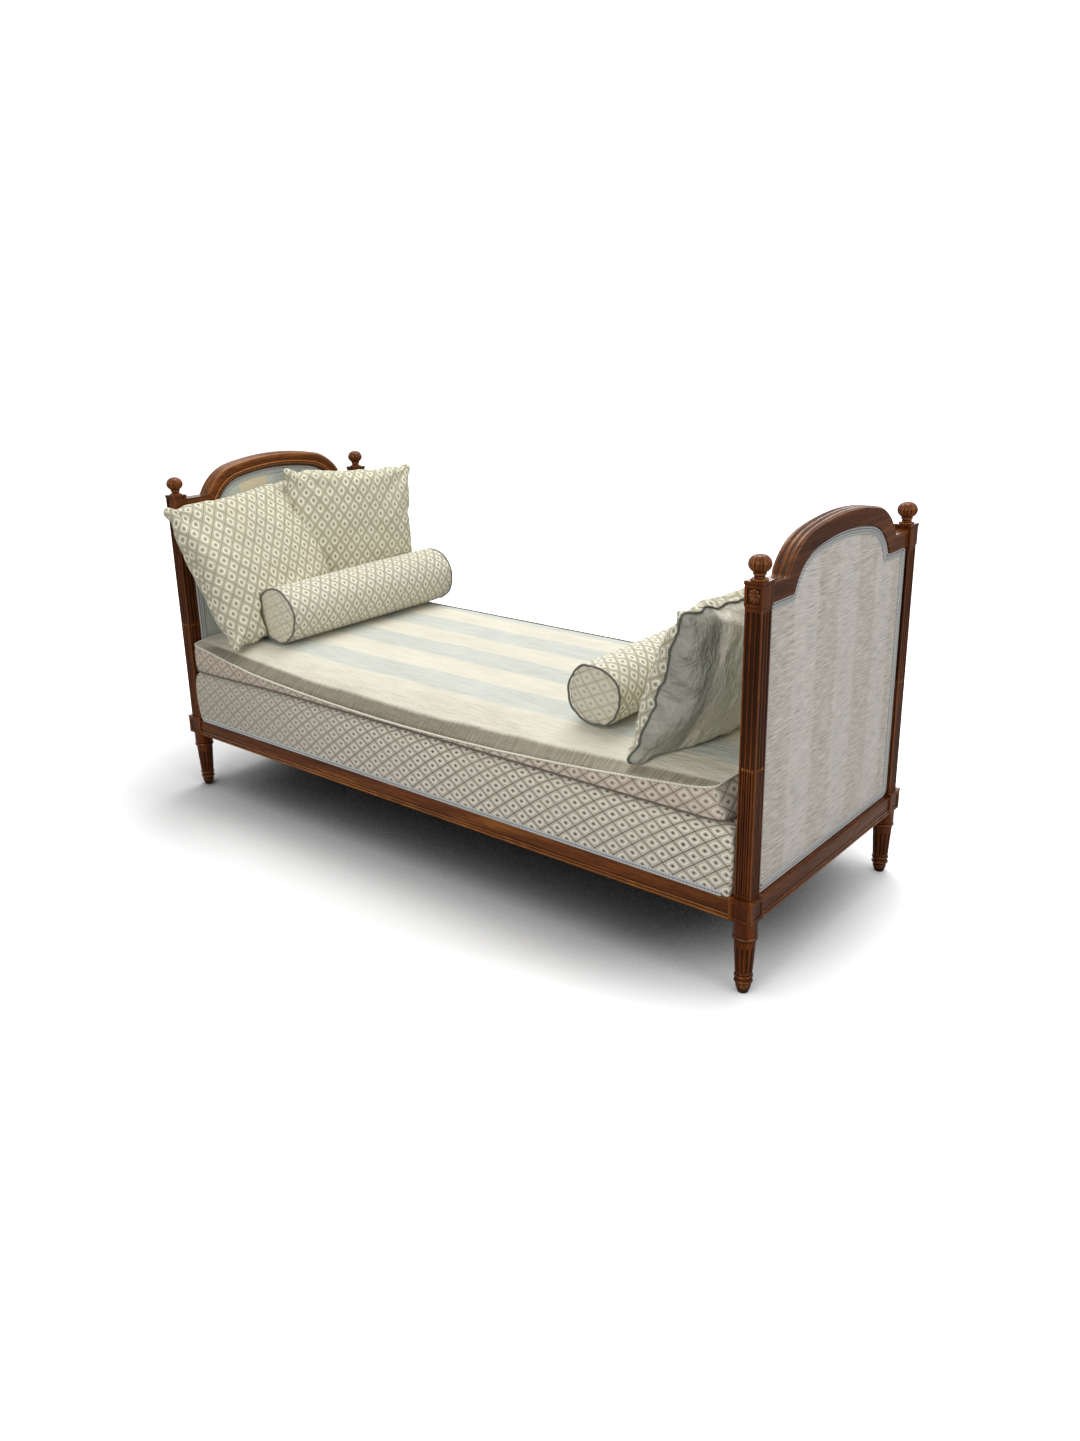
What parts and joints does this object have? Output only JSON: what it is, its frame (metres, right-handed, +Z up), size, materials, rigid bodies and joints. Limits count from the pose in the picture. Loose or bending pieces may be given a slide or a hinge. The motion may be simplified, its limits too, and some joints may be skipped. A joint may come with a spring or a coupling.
{
  "type": "day bed",
  "caption": "Carved wooden day bed with fluted posts, arched upholstered ends, a piped loose mattress, bolsters and scatter cushions.",
  "frame": {"origin": "on the floor under the middle of the bed", "axes": "+X along the length to the right end, +Y to the back, +Z up"},
  "size_m": [1.998, 0.8197, 1.0079],
  "materials": {
    "walnut": "waxed, worn on the edges",
    "softwood": "sawn",
    "steel": "zinc plated",
    "panel_cloth_inside": "blue-grey and cream stripe",
    "panel_cloth_outside": "grey and greige stripe",
    "gimp": "double cord",
    "stripe_cloth": "cream and blue-grey stripe",
    "diamond_cloth": "ivory with a diamond lattice",
    "cushion_cloth": "beige lattice",
    "cream_piping": "corded",
    "dark_piping": "corded",
    "dust_cloth": "plain",
    "foam": "open cell",
    "wadding": "soft"
  },
  "bodies": {
    "frame": {"post_front_left": "walnut", "post_front_right": "walnut", "post_back_left": "walnut", "post_back_right": "walnut", "finial_front_left": "walnut", "finial_front_right": "walnut", "finial_back_left": "walnut", "finial_back_right": "walnut", "rail_front": "walnut", "rail_back": "walnut", "rail_left": "walnut", "rail_right": "walnut", "crest_left": "walnut", "crest_right": "walnut", "panel_board_left": "softwood", "panel_board_right": "softwood", "panel_inside_left": "panel_cloth_inside", "panel_inside_right": "panel_cloth_inside", "panel_outside_left": "panel_cloth_outside", "panel_outside_right": "panel_cloth_outside", "gimp_inside_left": "gimp", "gimp_inside_right": "gimp", "gimp_outside_left": "gimp", "gimp_outside_right": "gimp", "corner_braces": "softwood", "corner_bolts": "steel", "corner_nuts": "steel", "ledgers": "softwood", "slats": "softwood", "edge_boards": "softwood", "dust_cover": "dust_cloth", "base_foam": "foam", "base_cover": "diamond_cloth", "base_gimp_front": "gimp", "base_gimp_back": "gimp"},
    "mattress": {"mattress_cover": "stripe_cloth", "mattress_core": "foam", "mattress_piping": "cream_piping"},
    "bolster_left": {"bolster_left_cover": "diamond_cloth", "bolster_left_insert": "wadding", "bolster_left_piping": "dark_piping"},
    "bolster_right": {"bolster_right_cover": "diamond_cloth", "bolster_right_insert": "wadding", "bolster_right_piping": "dark_piping"},
    "cushion_near": {"cushion_near_cover": "cushion_cloth", "cushion_near_insert": "wadding"},
    "cushion_far": {"cushion_far_cover": "cushion_cloth", "cushion_far_insert": "wadding"},
    "cushion_right": {"cushion_right_cover": "cushion_cloth", "cushion_right_insert": "wadding", "cushion_right_piping": "dark_piping"}
  },
  "joints": [
    {"name": "mattress_lift", "type": "slide", "parent": "frame", "child": "mattress", "axis": [0, 0, 1], "range_m": [0, 0.4]},
    {"name": "bolster_left_lift", "type": "slide", "parent": "mattress", "child": "bolster_left", "axis": [0.6, 0, 0.8], "range_m": [0, 0.5]},
    {"name": "bolster_right_lift", "type": "slide", "parent": "mattress", "child": "bolster_right", "axis": [0, 0, 1], "range_m": [0, 0.4]},
    {"name": "cushion_near_lift", "type": "slide", "parent": "mattress", "child": "cushion_near", "axis": [0, 0, 1], "range_m": [0, 0.4]},
    {"name": "cushion_far_lift", "type": "slide", "parent": "mattress", "child": "cushion_far", "axis": [0, 0, 1], "range_m": [0, 0.4]},
    {"name": "cushion_right_lift", "type": "slide", "parent": "mattress", "child": "cushion_right", "axis": [0, 0, 1], "range_m": [0, 0.4]}
  ],
  "couplings": [
    {"joint": "cushion_near_lift", "follows": "bolster_left_lift", "ratio": 0.8},
    {"joint": "cushion_far_lift", "follows": "bolster_left_lift", "ratio": 0.8}
  ]
}
